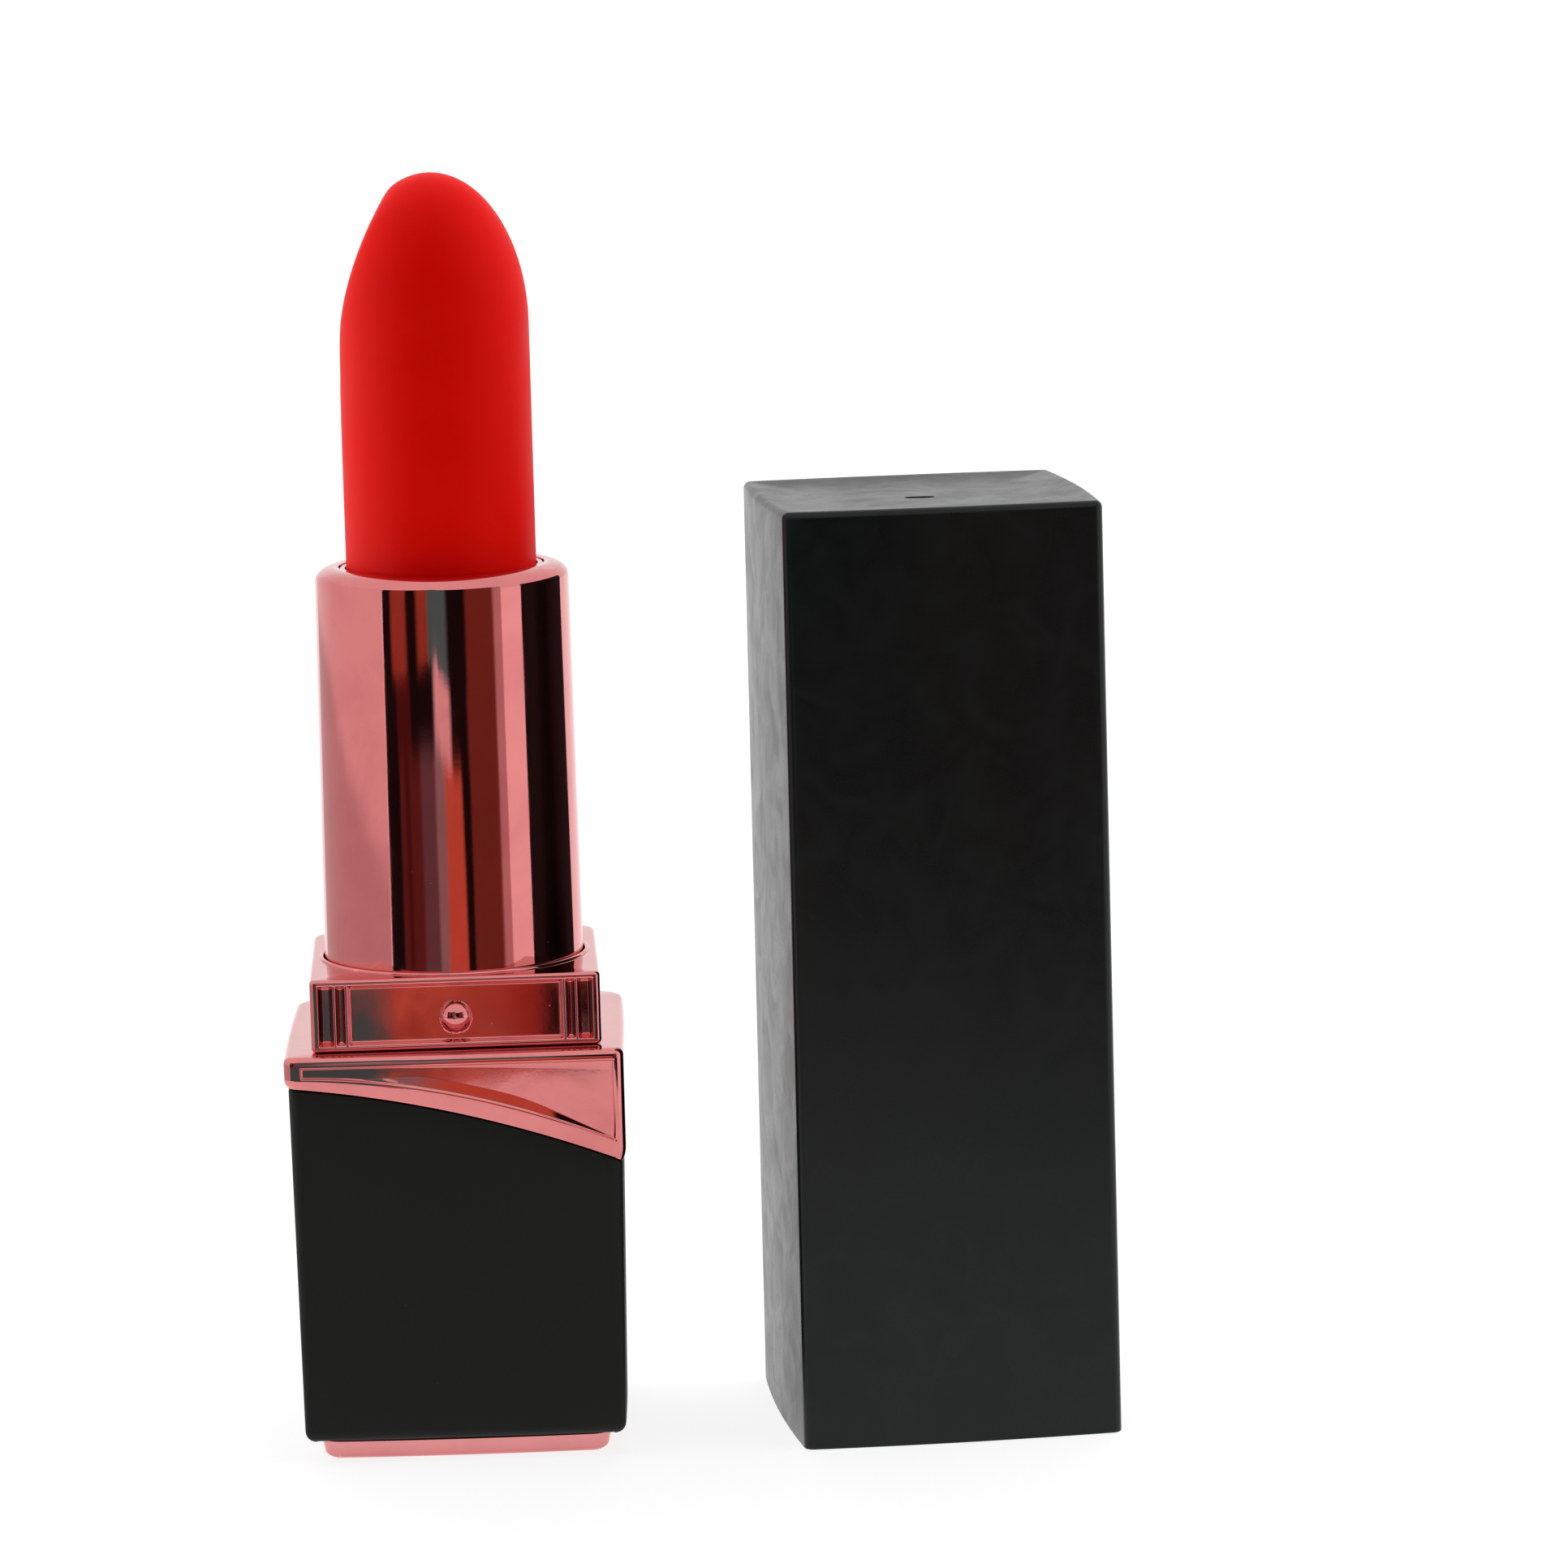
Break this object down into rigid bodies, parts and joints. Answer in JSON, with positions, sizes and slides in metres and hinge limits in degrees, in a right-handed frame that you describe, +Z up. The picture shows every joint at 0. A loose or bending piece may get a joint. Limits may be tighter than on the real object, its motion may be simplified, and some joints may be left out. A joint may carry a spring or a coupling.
{
  "type": "lipstick case",
  "caption": "Square twist-up lipstick case, open: bullet raised from a round tube on a square collar and base, with its tall square cap standing beside it.",
  "frame": {"origin": "centre of the foot's underside, on the axis of the twist mechanism", "axes": "+Z up along the twist axis, +X from the case towards the cap that stands beside it, -Y the front with the falling joint line"},
  "size_m": [0.0483, 0.021, 0.0743],
  "materials": {
    "rose_metal": "polished",
    "soft_black": "satin",
    "satin_black": "satin",
    "red_stick": "satin",
    "white_plastic": "satin",
    "black_plastic": "satin",
    "steel": "satin",
    "silicone": "matte"
  },
  "bodies": {
    "base": {"base_foot": "rose_metal", "base_shell": "soft_black", "shoulder_trim": "rose_metal", "base_core": "black_plastic", "base_weight": "steel", "slotted_tube": "white_plastic"},
    "turning_tube": {"collar": "rose_metal", "outer_tube": "rose_metal", "spiral_sleeve": "white_plastic", "friction_ring": "silicone"},
    "bullet_carrier": {"carrier_cup": "rose_metal", "lipstick_bullet": "red_stick"},
    "cap": {"cap_shell": "satin_black", "cap_liner": "black_plastic"}
  },
  "joints": [
    {"name": "tube_twist", "type": "hinge", "parent": "base", "child": "turning_tube", "pos_m": [0, 0, 0.0201], "axis": [0, 0, 1], "range_deg": [-540, 0]},
    {"name": "bullet_rise", "type": "slide", "parent": "base", "child": "bullet_carrier", "axis": [0, 0, 1], "range_m": [-0.02401, 0]},
    {"name": "cap_lift", "type": "slide", "parent": "base", "child": "cap", "axis": [0, 0, 1], "range_m": [0, 0.06]}
  ],
  "couplings": [
    {"joint": "bullet_rise", "follows": "tube_twist", "m_per_rad": 0.0025465}
  ]
}
